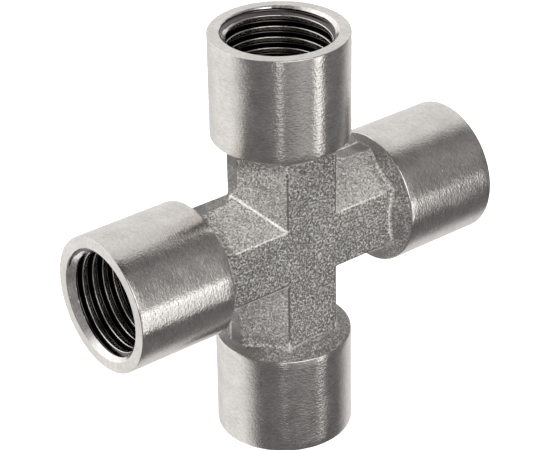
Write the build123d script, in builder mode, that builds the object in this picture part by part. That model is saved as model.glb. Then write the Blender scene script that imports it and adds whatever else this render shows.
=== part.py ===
"""Equal cross fitting with four G 1/4 female ports, hot forged in nickel-plated brass.

Frame: the origin is where the four passages cross. +Z runs along the top port, +X along the
right port, and the forging's parting plane is y = 0. All sizes are in millimetres.
"""

from build123d import *
from build123d.topology import SkipClean
from math import ceil, radians, tan
import os

os.makedirs("parts", exist_ok=True)

# --- overall ---------------------------------------------------------------------------------
MOUTH = 25.4  # centre of the cross to the mouth of a port
SOCKET_RADIUS = 8.0
SOCKET_LENGTH = 12.5  # turned part of an arm, from its mouth to its inner rim
RIM = MOUTH - SOCKET_LENGTH  # centre of the cross to the inner rim
MOUTH_CHAMFER = 0.14
RIM_CHAMFER = 0.12

# --- G 1/4 parallel pipe thread (ISO 228) -----------------------------------------------------
PITCH = 25.4 / 19
MAJOR_RADIUS = 13.157 / 2
BORE_RADIUS = 11.8 / 2  # tapping drill, which leaves the thread's crests flat
FLANK_ANGLE = 27.5  # half the included angle, in degrees
ROOT_FLAT = PITCH / 6  # the flat that stands in for the rounding of each root
COUNTERSINK_RADIUS = 6.68
COUNTERSINK_DEPTH = COUNTERSINK_RADIUS - BORE_RADIUS  # 90 degrees included
THREAD_DEPTH = 10.0  # mouth to the last turn
BORE_DEPTH = 11.3  # mouth to the end of the tapping bore's straight wall
DRILL_POINT_ANGLE = 59.0  # half the included angle of the drill's point, in degrees

# --- forged body ------------------------------------------------------------------------------
PASSAGE_RADIUS = 4.3
PLATEAU_HALF_WIDTH = 3.5
PLATEAU_HEIGHT = 5.55  # parting plane to the flat front or back
LAND_HALF_WIDTH = 6.95  # an arm's axis to its trimmed parting land
LAND_HALF_THICKNESS = 0.95
CORNER_ROUND = 2.0  # inner corners of the outline, between the lands of two arms
VALLEY_ROUND = 0.35  # between the bevels of two arms
LAND_ROUND = 0.45  # between a land and a bevel
PLATEAU_ROUND = 0.55  # between a plateau and a bevel
SHOULDER_ANGLE = 30.0  # cone behind a socket, from the plane across the arm, in degrees
SHOULDER_ROUND = 0.5

# Each arm's plane has its origin at the centre of the cross and its normal along the arm.
ARMS = {
    "top": Plane.XY,
    "bottom": Plane(origin=(0, 0, 0), x_dir=(-1, 0, 0), z_dir=(0, 0, -1)),
    "right": Plane(origin=(0, 0, 0), x_dir=(0, 0, -1), z_dir=(1, 0, 0)),
    "left": Plane(origin=(0, 0, 0), x_dir=(0, 0, 1), z_dir=(-1, 0, 0)),
}


def write(part, name):
    """Labels a finished piece and writes it under its node's name."""
    part.label = name
    export_step(part, f"parts/{name}.step")


def arm_section(plane):
    """Section across an arm of the forging: flat front and back, two bevels a side, thin lands."""
    half = (
        (PLATEAU_HALF_WIDTH, PLATEAU_HEIGHT),
        (LAND_HALF_WIDTH, LAND_HALF_THICKNESS),
        (LAND_HALF_WIDTH, -LAND_HALF_THICKNESS),
        (PLATEAU_HALF_WIDTH, -PLATEAU_HEIGHT),
    )
    with BuildSketch(plane) as section:
        with BuildLine():
            right = Polyline(*half)
            left = mirror(right, about=Plane.YZ)
            Line(right @ 0, left @ 0)
            Line(right @ 1, left @ 1)
        make_face()
    return section.sketch


def points_along(edge):
    """The start, middle and end of an edge."""
    return [edge @ share for share in (0, 0.5, 1)]


def in_a_valley(edge):
    """Is the edge in one of the two diagonal planes in which the arms meet?"""
    return all(abs(abs(p.X) - abs(p.Z)) < 1e-4 for p in points_along(edge))


def at_height(edge, height):
    """Does the edge stay at this distance from the parting plane, and clear of the arms' ends?"""
    points = points_along(edge)
    level = all(abs(abs(p.Y) - height) < 1e-4 for p in points)
    at_arm_end = all(max(abs(p.X), abs(p.Z)) > RIM - 1e-3 for p in points)
    return level and not at_arm_end


# --- forged body: two crossing arms, a conical shoulder behind each socket, crossing passages --
with BuildPart() as forged_body:
    for plane in (Plane.XY, Plane.ZY):
        extrude(arm_section(plane), RIM, both=True)
    fillet(forged_body.edges().filter_by(in_a_valley).filter_by(Axis.Y), CORNER_ROUND)
    fillet(forged_body.edges().filter_by(in_a_valley), VALLEY_ROUND)
    land_edges = forged_body.edges().filter_by(lambda edge: at_height(edge, LAND_HALF_THICKNESS))
    fillet(land_edges, LAND_ROUND)
    plateau_edges = forged_body.edges().filter_by(lambda edge: at_height(edge, PLATEAU_HEIGHT))
    fillet(plateau_edges, PLATEAU_ROUND)
    shoulder_top = SOCKET_RADIUS - RIM_CHAMFER
    shoulder_height = (shoulder_top - PASSAGE_RADIUS) * tan(radians(SHOULDER_ANGLE))
    with Locations(*(arm.offset(RIM - shoulder_height / 2) for arm in ARMS.values())):
        Cone(PASSAGE_RADIUS, shoulder_top, shoulder_height)
    shoulders = forged_body.faces().filter_by(GeomType.CONE).sort_by(SortBy.AREA)[-4:]
    shoulder_feet = [
        edge
        for edge in shoulders.edges()
        if edge.geom_type not in (GeomType.CIRCLE, GeomType.LINE)
    ]
    fillet(shoulder_feet, SHOULDER_ROUND)
    with Locations(*(arm.offset(RIM) for arm in ARMS.values())):
        Hole(PASSAGE_RADIUS, depth=RIM)

write(forged_body.part, "forged_body")

# --- one socket along +Z: turned outside, tapping bore with a drill point, countersunk mouth ---
# A quarter turn of the thread's groove, starting on the XZ plane.
with BuildPart() as groove_quarter:
    overlap = 0.1  # how far the cutter reaches inside the bore
    root = ROOT_FLAT / 2
    mouth_side = root + (MAJOR_RADIUS - BORE_RADIUS + overlap) * tan(radians(FLANK_ANGLE))
    with BuildLine() as helix:
        Helix(PITCH, PITCH / 4, MAJOR_RADIUS)
    with BuildSketch(Plane.XZ):
        with BuildLine():
            Polyline(
                (MAJOR_RADIUS, root),
                (MAJOR_RADIUS, -root),
                (BORE_RADIUS - overlap, -mouth_side),
                (BORE_RADIUS - overlap, mouth_side),
                close=True,
            )
        make_face()
    sweep(path=helix.line, is_frenet=True)

# The groove's quarter turns, from its inner end to one turn beyond the mouth.
groove_steps = [
    Pos(0, 0, MOUTH - THREAD_DEPTH + quarter * PITCH / 4) * Rot(0, 0, 90 * quarter)
    for quarter in range(ceil(4 * (THREAD_DEPTH / PITCH + 1)))
]

# The socket is revolved in four quarters whose faces are kept apart, so that each quarter turn of
# the thread's crest is a face of its own.
with BuildPart() as socket, SkipClean():
    bore_end = MOUTH - BORE_DEPTH
    point_end = bore_end - (BORE_RADIUS - PASSAGE_RADIUS) / tan(radians(DRILL_POINT_ANGLE))
    for radial in (Vector(1, 0, 0), Vector(0, 1, 0), Vector(-1, 0, 0), Vector(0, -1, 0)):
        with BuildSketch(Plane(origin=(0, 0, 0), x_dir=radial, z_dir=radial.cross(Vector(0, 0, 1)))):
            with BuildLine():
                Polyline(
                    (PASSAGE_RADIUS, RIM),
                    (SOCKET_RADIUS - RIM_CHAMFER, RIM),
                    (SOCKET_RADIUS, RIM + RIM_CHAMFER),
                    (SOCKET_RADIUS, MOUTH - MOUTH_CHAMFER),
                    (SOCKET_RADIUS - MOUTH_CHAMFER, MOUTH),
                    (COUNTERSINK_RADIUS, MOUTH),
                    (BORE_RADIUS, MOUTH - COUNTERSINK_DEPTH),
                    (BORE_RADIUS, bore_end),
                    (PASSAGE_RADIUS, point_end),
                    close=True,
                )
            make_face()
        revolve(axis=Axis.Z, revolution_arc=90)
    with Locations(*groove_steps):
        add(groove_quarter.part, mode=Mode.SUBTRACT)

for side, arm in ARMS.items():
    write(socket.part.moved(arm.location), f"{side}_socket")
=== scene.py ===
"""Looks of an equal cross fitting in nickel-plated brass: sockets, forging, floor, light, camera."""

import math

import bmesh
import bpy
import numpy as np
from mathutils import Matrix, Vector


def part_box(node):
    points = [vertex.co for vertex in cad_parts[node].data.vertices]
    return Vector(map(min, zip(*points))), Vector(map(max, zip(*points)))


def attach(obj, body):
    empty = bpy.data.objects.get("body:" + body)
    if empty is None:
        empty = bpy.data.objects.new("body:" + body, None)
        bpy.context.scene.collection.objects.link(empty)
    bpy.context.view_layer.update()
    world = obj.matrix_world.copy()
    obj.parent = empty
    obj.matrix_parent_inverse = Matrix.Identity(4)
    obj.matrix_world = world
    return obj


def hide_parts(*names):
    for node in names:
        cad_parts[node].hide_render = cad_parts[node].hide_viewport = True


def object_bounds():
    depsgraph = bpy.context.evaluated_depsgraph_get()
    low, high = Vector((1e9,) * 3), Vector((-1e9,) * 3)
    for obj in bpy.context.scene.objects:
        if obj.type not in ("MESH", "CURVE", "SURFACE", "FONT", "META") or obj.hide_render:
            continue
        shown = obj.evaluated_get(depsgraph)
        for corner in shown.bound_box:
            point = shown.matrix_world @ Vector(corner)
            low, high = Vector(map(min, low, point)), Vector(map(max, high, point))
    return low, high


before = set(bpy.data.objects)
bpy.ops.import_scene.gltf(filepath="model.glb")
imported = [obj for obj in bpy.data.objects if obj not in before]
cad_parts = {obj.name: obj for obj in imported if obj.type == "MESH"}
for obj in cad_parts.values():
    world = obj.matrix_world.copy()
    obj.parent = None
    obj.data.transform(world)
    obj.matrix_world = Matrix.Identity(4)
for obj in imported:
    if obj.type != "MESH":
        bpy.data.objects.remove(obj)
cad_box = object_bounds()

MM = 0.001

# --- a socket's sizes, in mm; heights run along its own arm, from the fitting's centre ---------
low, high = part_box("top_socket")
MOUTH = high[2] / MM
RIM = low[2] / MM
RADIUS = (high[0] - low[0]) / 2 / MM
BORE = 5.9
PASSAGE = 4.3
COUNTERSINK = 6.68
BORE_DEPTH = 11.3
THREAD_DEPTH = 10.0
DRILL_POINT = math.radians(59)  # between the drill's point and its axis
MOUTH_ROUND = 0.14
RIM_ROUND = 0.16
FACE_EDGE = 0.03  # from each edge of the mouth face to the nearest of its inner rings
COLUMNS = 240  # of vertices around a socket
SHARP = math.radians(32)  # an edge that turns more than this isn't smoothed

# --- the G 1/4 thread: lengths in mm, shares in pitches from the middle of a root --------------
PITCH = 25.4 / 19
MAJOR = 13.157 / 2
HALF_ANGLE = math.radians(27.5)
ROOT_ROUND = 0.137329 * PITCH
FLANKS_MEET = MAJOR + 0.160082 * PITCH  # radius at which a root's two flanks would meet
CREST_ROUND = 0.03
ROOT_END = ROOT_ROUND * math.cos(HALF_ANGLE) / PITCH
CREST_START = (FLANKS_MEET - BORE) * math.tan(HALF_ANGLE) / PITCH
CORNER_ROWS = (-0.03, -0.01, 0.01, 0.03, 0.06)  # close rows of vertices around a crest's corner
# the crests' bright metal is a painted highlight along them
CREST_SPILL = 0.03  # how far the crest's bright metal goes past its corners
RUN_OUT = 0.5  # how far below the full thread it fades into the bore

# the places of a socket's materials in its list
WALL, FACE, INSIDE, CREST, CONE = range(5)


# --- the shape of a socket --------------------------------------------------------------------
def arc(centre, radius, start, end, steps):
    """Points on an arc of a profile; angles in degrees, from +r towards +z."""
    angles = np.radians(np.linspace(start, end, steps))
    return [(centre[0] + radius * math.cos(a), centre[1] + radius * math.sin(a)) for a in angles]


def thread_radius(phase):
    """Radius of the threaded wall at a distance from a root's middle, in pitches (-0.5 to 0.5)."""
    x = np.abs(phase) * PITCH
    root = MAJOR - ROOT_ROUND + np.sqrt(np.clip(ROOT_ROUND**2 - x**2, 0, None))
    flank = FLANKS_MEET - x / math.tan(HALF_ANGLE)
    past_crest = np.clip((flank - BORE) / CREST_ROUND, -50, 50)
    flank_and_crest = BORE + CREST_ROUND * np.log1p(np.exp(past_crest))
    return np.where(x < ROOT_END * PITCH, root, flank_and_crest)


def turn_rows():
    """Rows of vertices up one turn of the thread, in pitches, with more of them at its corners."""
    spread = max(CORNER_ROWS)
    half = np.concatenate(
        [
            np.linspace(0, ROOT_END, 5),
            np.linspace(ROOT_END, CREST_START - spread, 4)[1:],
            CREST_START + np.array(CORNER_ROWS),
            np.linspace(CREST_START + spread, 0.5, 3)[1:],
        ]
    )
    return np.concatenate([half, 1 - half[::-1][1:-1]])


def socket_rings(turn, lag):
    """Closed rings of vertices, up the inside and down the outside of a socket built along +Z.

    Each ring has a radius, a height and a material for every column. The thread's rings climb one
    pitch in a turn. Also returned: the numbers of the thread's first and last rings.
    """
    rings = []
    climb = np.arange(COLUMNS) / COLUMNS

    def ring(r, z, material):
        rings.append([np.broadcast_to(value, COLUMNS) for value in (r, z, material)])

    bore_end = MOUTH - BORE_DEPTH
    ring(PASSAGE, bore_end - (BORE - PASSAGE) / math.tan(DRILL_POINT), INSIDE)
    ring(BORE, bore_end, INSIDE)
    start = MOUTH - THREAD_DEPTH
    ring(BORE, start - 1.2 * RUN_OUT * PITCH, INSIDE)
    first = len(rings)
    turns = math.ceil(THREAD_DEPTH / PITCH) + 1
    crest_half = 0.5 - CREST_START + CREST_SPILL
    for row in np.concatenate([turn + k for k in range(-1, turns)]):
        z = start + (row + climb - lag) * PITCH
        z = np.clip(z, start - RUN_OUT * PITCH, MOUTH - 0.4 * FACE_EDGE)
        height = (z - start) / PITCH
        phase = height - climb + lag
        thread = thread_radius(phase - np.round(phase))
        # below its start the thread runs out into the bore
        fade = np.clip(height + RUN_OUT, 0, 1)
        thread = BORE + (thread - BORE) * np.where(z < start, fade**2, 1)
        cone = COUNTERSINK - (MOUTH - z)
        on_crest = 1e-6 < (row + 0.5 + crest_half) % 1 <= 2 * crest_half + 1e-6
        material = np.where(cone > np.maximum(thread, BORE), CONE, CREST if on_crest else INSIDE)
        ring(np.maximum(np.maximum(thread, cone), BORE), z, material)
    last = len(rings) - 1

    ring(COUNTERSINK + 0.02, MOUTH, FACE)
    for r in np.linspace(COUNTERSINK + FACE_EDGE, RADIUS - MOUTH_ROUND - FACE_EDGE, 5):
        ring(r, MOUTH, FACE)
    for r, z in arc((RADIUS - MOUTH_ROUND, MOUTH - MOUTH_ROUND), MOUTH_ROUND, 90, 0, 6):
        ring(r, z, WALL)
    for z in np.linspace(MOUTH - MOUTH_ROUND, RIM + RIM_ROUND, 14)[1:-1]:
        ring(RADIUS, z, WALL)
    for r, z in arc((RADIUS - RIM_ROUND, RIM + RIM_ROUND), RIM_ROUND, 0, -90, 6):
        ring(r, z, WALL)
    ring(PASSAGE + 1.5, RIM, WALL)
    ring(PASSAGE, RIM, WALL)
    return rings, first, last


def socket_object(name, arm, lag, materials):
    """One turned socket; lag is how far, in pitches, its thread is turned in."""
    turn = turn_rows()
    rings, first, last = socket_rings(turn, lag)
    theta = np.arange(COLUMNS) * 2 * math.pi / COLUMNS
    radii = np.array([r for r, z, m in rings])
    heights = np.array([z for r, z, m in rings])
    places = np.stack([radii * np.cos(theta), radii * np.sin(theta), heights], axis=-1)
    faces, face_material = [], []
    end = COLUMNS - 1
    for k in range(len(rings)):
        after = (k + 1) % len(rings)
        for c in range(end):
            here, there = k * COLUMNS + c, after * COLUMNS + c
            faces.append((here, there, there + 1, here + 1))
        # the last column meets the first one, which in the thread is a whole turn further up
        here, there = k, after
        if first <= k < last:
            here, there = min(k + len(turn), last), min(after + len(turn), last)
        faces.append((k * COLUMNS + end, after * COLUMNS + end, there * COLUMNS, here * COLUMNS))
        face_material += rings[after][2].tolist() if after else [WALL] * COLUMNS
    # the step that this leaves in the seam at the thread's lower end
    for k in range(first, first + len(turn)):
        faces.append((first * COLUMNS + end, (k + 1) * COLUMNS, k * COLUMNS))
        face_material.append(INSIDE)

    mesh = bpy.data.meshes.new(name)
    mesh.from_pydata((places.reshape(-1, 3) * MM).tolist(), [], faces)
    for material in materials:
        mesh.materials.append(material)
    mesh.polygons.foreach_set("material_index", np.array(face_material, dtype=np.int32))
    mesh.polygons.foreach_set("use_smooth", np.ones(len(faces), dtype=bool))
    work = bmesh.new()
    work.from_mesh(mesh)
    bmesh.ops.remove_doubles(work, verts=work.verts, dist=1e-6)
    bmesh.ops.dissolve_degenerate(work, edges=work.edges, dist=1e-7)
    bmesh.ops.recalc_face_normals(work, faces=work.faces)
    for edge in work.edges:
        if len(edge.link_faces) == 2 and edge.calc_face_angle(0) > SHARP:
            edge.smooth = False
    work.to_mesh(mesh)
    work.free()
    piece = bpy.data.objects.new(name, mesh)
    bpy.context.collection.objects.link(piece)
    piece.matrix_world = arm
    return piece


# --- materials --------------------------------------------------------------------------------
class Graph:
    """Makes and links the nodes of one material or world."""

    def __init__(self, tree):
        self.tree = tree
        tree.nodes.clear()

    def link(self, source, target):
        self.tree.links.new(source, target)

    def node(self, kind, values=(), **settings):
        made = self.tree.nodes.new(kind)
        for key, value in settings.items():
            setattr(made, key, value)
        for key, value in dict(values).items():
            made.inputs[key].default_value = value
        return made

    def maths(self, operation, *values):
        made = self.node("ShaderNodeMath", operation=operation)
        for index, value in enumerate(values):
            if isinstance(value, (int, float)):
                made.inputs[index].default_value = value
            else:
                self.link(value, made.inputs[index])
        return made.outputs[0]

    def plus(self, first, *others):
        for other in others:
            first = self.maths("ADD", first, other)
        return first

    def minus(self, first, *others):
        for other in others:
            first = self.maths("SUBTRACT", first, other)
        return first

    def times(self, first, *others):
        for other in others:
            first = self.maths("MULTIPLY", first, other)
        return first

    def size(self, value):
        return self.maths("ABSOLUTE", value)

    def separate(self, vector):
        made = self.node("ShaderNodeSeparateXYZ")
        self.link(vector, made.inputs[0])
        return tuple(made.outputs)

    def coordinates(self, kind):
        return self.node("ShaderNodeTexCoord").outputs[kind]

    def remap(self, value, low_in, high_in, low_out, high_out, smooth=False):
        """A value moved from one range to another, and kept inside it."""
        made = self.node("ShaderNodeMapRange", interpolation_type="SMOOTHSTEP" if smooth else "LINEAR")
        self.link(value, made.inputs["Value"])
        ends = {"From Min": low_in, "From Max": high_in, "To Min": low_out, "To Max": high_out}
        for key, number in ends.items():
            made.inputs[key].default_value = number
        return made.outputs["Result"]

    def curve(self, value, low, high, points):
        """A value looked up in a list of (position, level), levels up to 2."""
        made = self.node("ShaderNodeValToRGB")
        self.link(self.remap(value, low, high, 0.0, 1.0), made.inputs["Fac"])
        ramp = made.color_ramp
        ramp.interpolation = "EASE"
        while len(ramp.elements) > 1:
            ramp.elements.remove(ramp.elements[-1])
        for index, (position, level) in enumerate(points):
            share = (position - low) / (high - low)
            stop = ramp.elements[0] if index == 0 else ramp.elements.new(share)
            stop.position = share
            stop.color = (level / 2, level / 2, level / 2, 1)
        grey_level = self.node("ShaderNodeRGBToBW")
        self.link(made.outputs["Color"], grey_level.inputs[0])
        return self.times(grey_level.outputs[0], 2.0)

    def noise(self, place, scale, detail=2.0, roughness=0.5, dimensions="3D"):
        values = {"Scale": scale, "Detail": detail, "Roughness": roughness}
        made = self.node("ShaderNodeTexNoise", values, noise_dimensions=dimensions)
        self.link(place, made.inputs["W" if dimensions == "1D" else "Vector"])
        return made.outputs["Fac"]

    def cells(self, place, scale, feature):
        values = {"Scale": scale, "Randomness": 1.0}
        made = self.node("ShaderNodeTexVoronoi", values, feature=feature)
        self.link(place, made.inputs["Vector"])
        return made.outputs

    def bump(self, height, distance, strength=1.0, over=None, invert=False):
        """A bump, in metres, over another bump if there is one."""
        values = {"Strength": strength, "Distance": distance}
        made = self.node("ShaderNodeBump", values, invert=invert)
        self.link(height, made.inputs["Height"])
        if over is not None:
            self.link(over, made.inputs["Normal"])
        return made.outputs[0]

    def tint(self, factor, colour, darkest, brightest):
        """A colour between a darker and a brighter one of the same hue."""
        made = self.node("ShaderNodeMix", data_type="RGBA")
        made.inputs["A"].default_value = (*[part * darkest for part in colour], 1)
        made.inputs["B"].default_value = (*[min(1, part * brightest) for part in colour], 1)
        self.link(factor, made.inputs["Factor"])
        return made.outputs["Result"]

    def choose(self, switch, otherwise, chosen):
        """One of two levels; the switch is 0 or 1."""
        made = self.node("ShaderNodeMix", data_type="FLOAT")
        self.link(switch, made.inputs["Factor"])
        self.link(otherwise, made.inputs["A"])
        if isinstance(chosen, float):
            made.inputs["B"].default_value = chosen
        else:
            self.link(chosen, made.inputs["B"])
        return made.outputs["Result"]


def new_material(name, colour, metallic, roughness):
    material = bpy.data.materials.new(name)
    material.use_nodes = True
    graph = Graph(material.node_tree)
    output = graph.node("ShaderNodeOutputMaterial")
    values = {"Base Color": (*colour, 1), "Metallic": metallic, "Roughness": roughness}
    shader = graph.node("ShaderNodeBsdfPrincipled", values)
    graph.link(shader.outputs["BSDF"], output.inputs["Surface"])
    return material, graph, shader.inputs


def turned_material(name, colour, roughness, anisotropy, lines_along, grain, lines, nicks):
    """Turned nickel: fine lines around the axis, a satin grain and a few nicks.

    The lines lie one after another up the axis ("z") or outwards from it ("r"). Grain and lines are
    depths in metres; nicks is the strength of the nicks.
    """
    material, graph, inputs = new_material(name, colour, 1.0, roughness)
    inputs["Anisotropic"].default_value = anisotropy
    inputs["Anisotropic Rotation"].default_value = 0.25
    tangent = graph.node("ShaderNodeTangent", direction_type="RADIAL", axis="Z")
    graph.link(tangent.outputs[0], inputs["Tangent"])
    place = graph.coordinates("Object")
    x, y, across = graph.separate(place)
    if lines_along == "r":
        across = graph.maths("SQRT", graph.plus(graph.times(x, x), graph.times(y, y)))
    flattened = graph.node("ShaderNodeMapping", {"Scale": (0.3, 0.3, 1.0)})
    graph.link(place, flattened.inputs["Vector"])
    ridges = graph.noise(across, 2600.0, 3.0, 0.6, "1D")
    dashes = graph.noise(flattened.outputs[0], 6500.0, 1.0, 0.5)
    pebbles = graph.noise(place, 3800.0, 1.5, 0.55)
    blotches = graph.noise(place, 420.0, 3.0, 0.55)
    dents = graph.remap(graph.noise(place, 900.0, 6.0, 0.75), 0.64, 0.7, 0.0, 1.0, True)
    normal = graph.bump(graph.plus(graph.times(ridges, 0.5), dashes), lines)
    normal = graph.bump(pebbles, grain, over=normal)
    normal = graph.bump(dents, 0.00002, nicks, over=normal, invert=True)
    graph.link(normal, inputs["Normal"])
    uneven = graph.plus(graph.times(blotches, 0.5), graph.times(dashes, 0.5))
    gloss = graph.remap(uneven, 0.3, 0.7, roughness * 0.7, roughness * 1.35)
    graph.link(gloss, inputs["Roughness"])
    tint = graph.tint(graph.remap(uneven, 0.32, 0.68, 0.0, 1.0), colour, 0.82, 1.12)
    graph.link(tint, inputs["Base Color"])
    return material


# where a shoulder starts to rise from an arm of the forging, in metres from the fitting's centre
VALLEY_END = (0.0100, 0.0104)
SHOULDER_FOOT = (0.0107, 0.0112)


def forged_material():
    """Nickel over a shot-blasted forging: satin, with a pitted grain, and painted shade and painted
    highlights in its colour.

    The regions of the forging are told apart by which way their surfaces face, and the shoulders by
    their distance from the centre as well. Scales are per metre: 4600 sets pits 0.2 mm apart.
    """
    colour = (0.66, 0.638, 0.612)
    material, graph, inputs = new_material("forged nickel", colour, 0.82, 0.5)
    place = graph.coordinates("Object")
    facing = graph.separate(graph.coordinates("Normal"))
    nx, ny, nz = [graph.size(part) for part in facing]
    sideways = graph.maths("MINIMUM", nx, nz)
    x, _, z = graph.separate(place)
    out = graph.maths("MAXIMUM", graph.size(x), graph.size(z))

    plateau = graph.remap(ny, 0.86, 0.97, 0.0, 1.0, True)
    # the lands, which get shallower pits and painted shade
    land = graph.remap(ny, 0.05, 0.35, 1.0, 0.0, True)
    # painted shade and painted highlights on the rounds between plateau and bevels: dark where they
    # face down or level and bright where they face up, and reversed beside the shoulders
    edge = graph.times(
        graph.remap(ny, 0.76, 0.86, 0.0, 1.0, True),
        graph.remap(ny, 0.955, 0.995, 1.0, 0.0, True),
        graph.remap(sideways, 0.08, 0.2, 1.0, 0.0, True),
        graph.remap(facing[2], 0.05, 0.2, 1.0, -0.7),
        graph.remap(out, *SHOULDER_FOOT, 1.0, -0.7),
    )
    # a painted highlight along the hollows in which the bevels of two arms meet
    painted_valley_highlight = graph.times(
        graph.remap(sideways, 0.1, 0.3, 0.0, 0.3, True),
        graph.remap(out, *VALLEY_END, 1.0, 0.0),
        graph.remap(ny, 0.3, 0.5, 0.0, 1.0),
    )
    # the faces of the shoulders, which are painted darker: painted shade
    shoulder = graph.times(
        graph.remap(graph.maths("MAXIMUM", nx, nz), 0.76, 0.84, 0.0, 1.0, True),
        graph.remap(out, *SHOULDER_FOOT, 0.0, 1.0),
    )

    pits = graph.minus(graph.cells(place, 4600.0, "SMOOTH_F1")["Distance"], 0.5)
    pit_depth = graph.times(
        graph.remap(plateau, 0.0, 1.0, 0.5, 1.1),
        graph.remap(land, 0.0, 1.0, 1.0, 0.4),
    )
    fine = graph.noise(place, 9500.0, 1.0, 0.5)
    coarse = graph.noise(place, 1400.0, 2.0, 0.5)
    height = graph.plus(graph.times(pits, pit_depth), graph.times(fine, 0.8))
    normal = graph.bump(graph.plus(height, graph.times(coarse, 0.2)), 0.00014)
    graph.link(normal, inputs["Normal"])

    grains = graph.node("ShaderNodeSeparateColor")
    graph.link(graph.cells(place, 5200.0, "F1")["Color"], grains.inputs[0])
    graph.link(graph.remap(grains.outputs[0], 0.0, 1.0, 0.26, 0.42), inputs["Roughness"])
    patches = graph.noise(place, 180.0, 3.0, 0.5)
    # the colour's tone: random patches and grains, with the pits painted darker as painted shade in
    # them
    shade = graph.plus(graph.times(patches, 0.25), height, graph.times(grains.outputs[1], 0.15))
    # painted shade on the lands, the shoulders and the lower sides of the rounds; painted highlights
    # on their upper sides and, next, along the hollows between bevels
    shade = graph.minus(
        shade, graph.times(edge, 0.4), graph.times(land, 0.2), graph.times(shoulder, 0.12)
    )
    shade = graph.remap(graph.plus(shade, painted_valley_highlight), 0.38, 0.82, 0.0, 1.0)
    graph.link(graph.tint(shade, colour, 0.3, 1.5), inputs["Base Color"])
    return material


turned_materials = [
    turned_material(
        "turned wall", (0.70, 0.67, 0.645), roughness=0.17, anisotropy=0.5, lines_along="z",
        grain=0.00002, lines=0.000012, nicks=0.5,
    ),
    turned_material(
        "turned mouth face", (0.72, 0.695, 0.67), roughness=0.32, anisotropy=0.5, lines_along="r",
        grain=0.000008, lines=0.000004, nicks=0.1,
    ),
    # the thread's flanks and roots, the bore and the drill point: a dark copy of the nickel, painted
    # shade for the inside of the socket
    turned_material(
        "cut thread", (0.13, 0.123, 0.117), roughness=0.15, anisotropy=0.0, lines_along="z",
        grain=0.000004, lines=0.000004, nicks=0.05,
    ),
    # the thread's crests: a bright copy of the nickel, a painted highlight along them
    turned_material(
        "thread crest", (0.85, 0.82, 0.79), roughness=0.15, anisotropy=0.0, lines_along="z",
        grain=0.00002, lines=0.000006, nicks=0.3,
    ),
    turned_material(
        "countersink", (0.9, 0.87, 0.85), roughness=0.22, anisotropy=0.4, lines_along="z",
        grain=0.000016, lines=0.000008, nicks=0.3,
    ),
]

# --- pieces -----------------------------------------------------------------------------------
# Each arm's own X axis, its Z axis out along the arm, and how far its thread is turned in.
ARMS = {
    "top": ((1, 0, 0), (0, 0, 1), 0.0),
    "bottom": ((-1, 0, 0), (0, 0, -1), 0.0),
    "right": ((0, 0, -1), (1, 0, 0), 0.4),
    "left": ((0, 0, 1), (-1, 0, 0), 0.74),
}
for side, (across, along, lag) in ARMS.items():
    x_axis, z_axis = Vector(across), Vector(along)
    y_axis = z_axis.cross(x_axis)
    arm = Matrix((x_axis, y_axis, z_axis)).transposed().to_4x4()
    socket = socket_object(f"{side}_socket_turned", arm, lag, turned_materials)
    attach(socket, "root")
    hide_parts(f"{side}_socket")

forged = forged_material()
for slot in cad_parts["forged_body"].material_slots:
    slot.material = forged

# --- floor ------------------------------------------------------------------------------------
FLOOR_HALF = 3.0
corners = ((-1, -1), (1, -1), (1, 1), (-1, 1))
floor_height = cad_box[0][2]
floor_mesh = bpy.data.meshes.new("floor")
floor_mesh.from_pydata(
    [(x * FLOOR_HALF, y * FLOOR_HALF, floor_height) for x, y in corners], [], [(0, 1, 2, 3)]
)
floor = bpy.data.objects.new("floor", floor_mesh)
bpy.context.collection.objects.link(floor)
floor_material, _, floor_inputs = new_material("pale floor", (0.93, 0.93, 0.93), 0.0, 0.9)
floor_inputs["Specular IOR Level"].default_value = 0.0
floor_mesh.materials.append(floor_material)
# the fitting is lit as if on a white cut-out, so it neither mirrors the floor nor takes its light
floor.visible_glossy = False
floor.visible_diffuse = False


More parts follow.
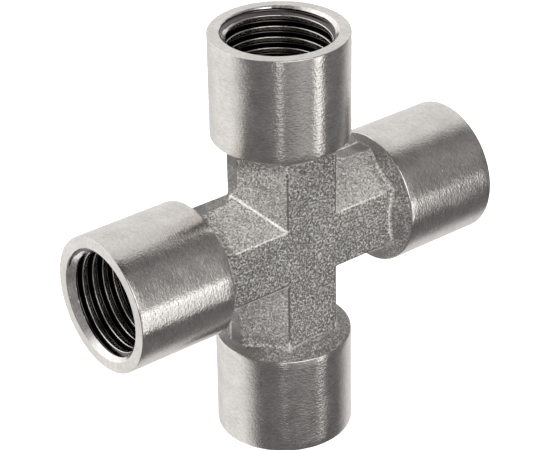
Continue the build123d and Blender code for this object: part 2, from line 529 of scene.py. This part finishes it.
# --- light ------------------------------------------------------------------------------------
def mirrored_studio(graph, azimuth, elevation):
    """What the metal mirrors: a pale half and a grey half, a bright strip, a glow, a spot, a box.

    Azimuths and elevations are in degrees; the camera is at azimuth -128, elevation 30.
    """
    from_pale = graph.size(graph.maths("WRAP", graph.minus(azimuth, 84.5), 180.0, -180.0))
    reach = graph.curve(
        elevation, -90, 90, [(-60, 1.2), (-34, 1.3), (-26, 0.4), (0, 0.0), (30, 0.2), (60, 1.0)]
    )
    from_pale = graph.minus(from_pale, graph.times(reach, 10.0))
    pale = graph.remap(from_pale, 56, 98, 1.0, 0.0, True)
    pale_level = graph.times(
        graph.curve(
            elevation, -60, 90,
            [(-50, 0.84), (-26, 0.89), (0, 1.02), (40, 1.02), (60, 0.92), (90, 0.5)],
        ),
        graph.remap(azimuth, 75, 115, 0.9, 1.16, True),
    )
    grey = graph.curve(
        elevation, -60, 90,
        [
            (-60, 0.19), (-35, 0.155), (-20, 0.2), (5, 0.2), (16, 0.24),
            (34, 0.29), (46, 0.24), (58, 0.18), (70, 0.06), (90, 0.03),
        ],
    )
    strip_across = graph.remap(graph.size(graph.plus(azimuth, 64)), 1.5, 10.5, 1.0, 0.0)
    strip_up = graph.curve(
        elevation, -60, 60,
        [
            (-34, 0.0), (-31.5, 0.05), (-28, 0.95), (-20, 0.85), (-11, 0.95), (-5, 1.35),
            (-2, 1.2), (1, 0.5), (4, 0.3), (12, 0.15), (26, 0.05), (45, 0.0),
        ],
    )
    glow_across = graph.curve(
        azimuth, -180, 180,
        [
            (-158, 0.0), (-142, 0.12), (-128, 0.45), (-118, 0.4), (-104, 0.72),
            (-95, 1.0), (-78, 0.9), (-66, 0.5), (-56, 0.1), (-48, 0.0),
        ],
    )
    glow_up = graph.curve(
        elevation, -60, 60,
        [(-40, 0.0), (-35, 0.05), (-31, 0.25), (-27, 1.0), (-10, 0.8), (5, 0.3), (20, 0.0)],
    )
    spot_across = graph.remap(graph.size(graph.plus(azimuth, 128)), 1.0, 4.0, 1.0, 0.0)
    spot_up = graph.curve(elevation, -60, 60, [(-28, 0.0), (-21, 1.0), (-13, 1.0), (-6, 0.0)])
    box_across = graph.curve(
        azimuth, -180, 180, [(-140, 0.0), (-122, 1.0), (-80, 1.0), (-64, 0.0)]
    )
    box_up = graph.curve(elevation, -60, 90, [(2, 0.0), (14, 1.0), (48, 1.0), (62, 0.0)])
    return graph.plus(
        grey,
        graph.times(pale, graph.minus(pale_level, grey)),
        graph.times(strip_across, strip_up, 1.6),
        graph.times(glow_across, glow_up, 0.4),
        graph.times(spot_across, spot_up, 1.4),
        graph.times(box_across, box_up, 1.7),
    )


def soft_light(graph, direction, elevation):
    """What lights the forging's dull share: a bright sky and a soft key from the camera's side."""
    sky = graph.curve(elevation, -90, 90, [(-30, 0.25), (0, 0.3), (25, 0.5), (50, 1.9), (90, 1.9)])
    key_direction = (-0.6, -0.6, 0.53)
    shares = [graph.times(part, share) for part, share in zip(direction, key_direction)]
    return graph.plus(sky, graph.remap(graph.plus(*shares), 0.6, 1.0, 0.0, 4.6, True))


def studio():
    """The world: one light for mirror rays, one for diffuse rays, and white behind it all."""
    world = bpy.data.worlds.new("studio")
    world.use_nodes = True
    graph = Graph(world.node_tree)
    output = graph.node("ShaderNodeOutputWorld")
    background = graph.node("ShaderNodeBackground", {"Color": (1.0, 0.995, 0.985, 1)})
    graph.link(background.outputs[0], output.inputs["Surface"])
    direction = graph.separate(graph.coordinates("Generated"))
    azimuth = graph.times(graph.maths("ARCTAN2", direction[1], direction[0]), 180 / math.pi)
    elevation = graph.times(graph.maths("ARCSINE", direction[2]), 180 / math.pi)
    mirrored = mirrored_studio(graph, azimuth, elevation)
    soft = soft_light(graph, direction, elevation)
    ray = graph.node("ShaderNodeLightPath").outputs
    level = graph.choose(ray["Is Diffuse Ray"], mirrored, soft)
    level = graph.choose(ray["Is Camera Ray"], level, 1.0)
    graph.link(level, background.inputs["Strength"])
    world.cycles.sampling_method = "NONE"
    return world


bpy.context.scene.world = studio()

# --- camera -----------------------------------------------------------------------------------
TURN, TILT, ROLL = math.radians(38.16), math.radians(29.98), math.radians(-0.88)
DISTANCE = 0.25214
toward_camera = Vector(
    (-math.sin(TURN) * math.cos(TILT), -math.cos(TURN) * math.cos(TILT), math.sin(TILT))
)
level_right = Vector((math.cos(TURN), -math.sin(TURN), 0))
level_up = toward_camera.cross(level_right)
right = math.cos(ROLL) * level_right + math.sin(ROLL) * level_up
up = -math.sin(ROLL) * level_right + math.cos(ROLL) * level_up
lens = bpy.data.cameras.new("camera")
lens.sensor_width = 36
lens.lens = 143.08
lens.shift_x = -0.01272
lens.shift_y = 0.01073
lens.clip_start = 0.01
lens.clip_end = 50
lens.dof.use_dof = False
camera = bpy.data.objects.new("camera", lens)
bpy.context.collection.objects.link(camera)
facing = Matrix((right, up, toward_camera)).transposed().to_4x4()
camera.matrix_world = Matrix.Translation(toward_camera * DISTANCE) @ facing
bpy.context.scene.camera = camera
bpy.context.scene.view_settings.view_transform = "Standard"
